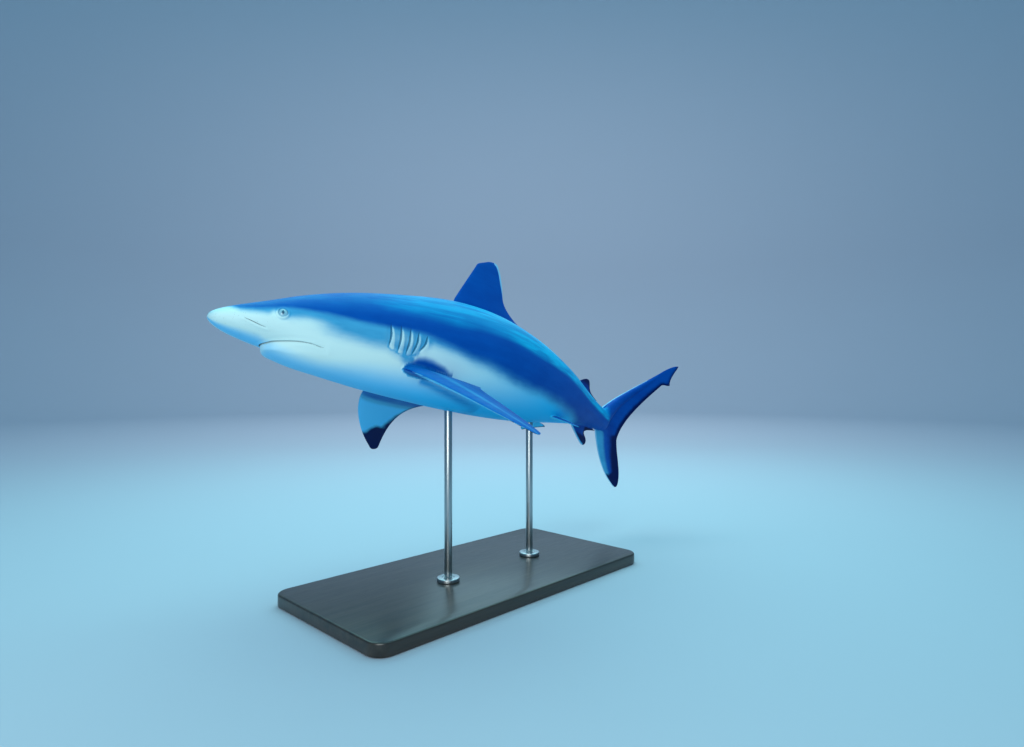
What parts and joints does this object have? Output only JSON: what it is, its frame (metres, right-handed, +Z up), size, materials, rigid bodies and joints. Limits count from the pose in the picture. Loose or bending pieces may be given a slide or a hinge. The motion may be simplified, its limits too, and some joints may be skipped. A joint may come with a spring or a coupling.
{
  "type": "grey reef shark model",
  "caption": "Life-size still model of a grey reef shark in a climbing, banked turn, held above a flat base by plain rods.",
  "frame": {"origin": "middle of the base's underside, on the surface that the model stands on", "axes": "+Z up, -X towards the shark's snout, -Y towards its left flank"},
  "size_m": [1.6112, 0.6734, 0.781],
  "materials": {
    "skin": "satin painted cast, slate grey-blue back shading to a white belly, dusky fin tips",
    "eye": "polished, pale iris with a black upright slit pupil",
    "stand_timber": "dark stained and satin lacquered",
    "stand_steel": "brushed"
  },
  "bodies": {
    "root": {"head": "skin", "lower_jaw": "skin", "trunk": "skin", "tail_stem": "skin", "first_dorsal_fin": "skin", "second_dorsal_fin": "skin", "anal_fin": "skin", "tail_fin_upper_lobe": "skin", "tail_fin_lower_lobe": "skin", "pectoral_fin_left": "skin", "pectoral_fin_right": "skin", "pelvic_fin_left": "skin", "pelvic_fin_right": "skin", "eye_left": "eye", "eye_right": "eye", "stand_base": "stand_timber", "stand_rod_front": "stand_steel", "stand_rod_rear": "stand_steel", "stand_collar_front": "stand_steel", "stand_collar_rear": "stand_steel"}
  },
  "joints": []
}
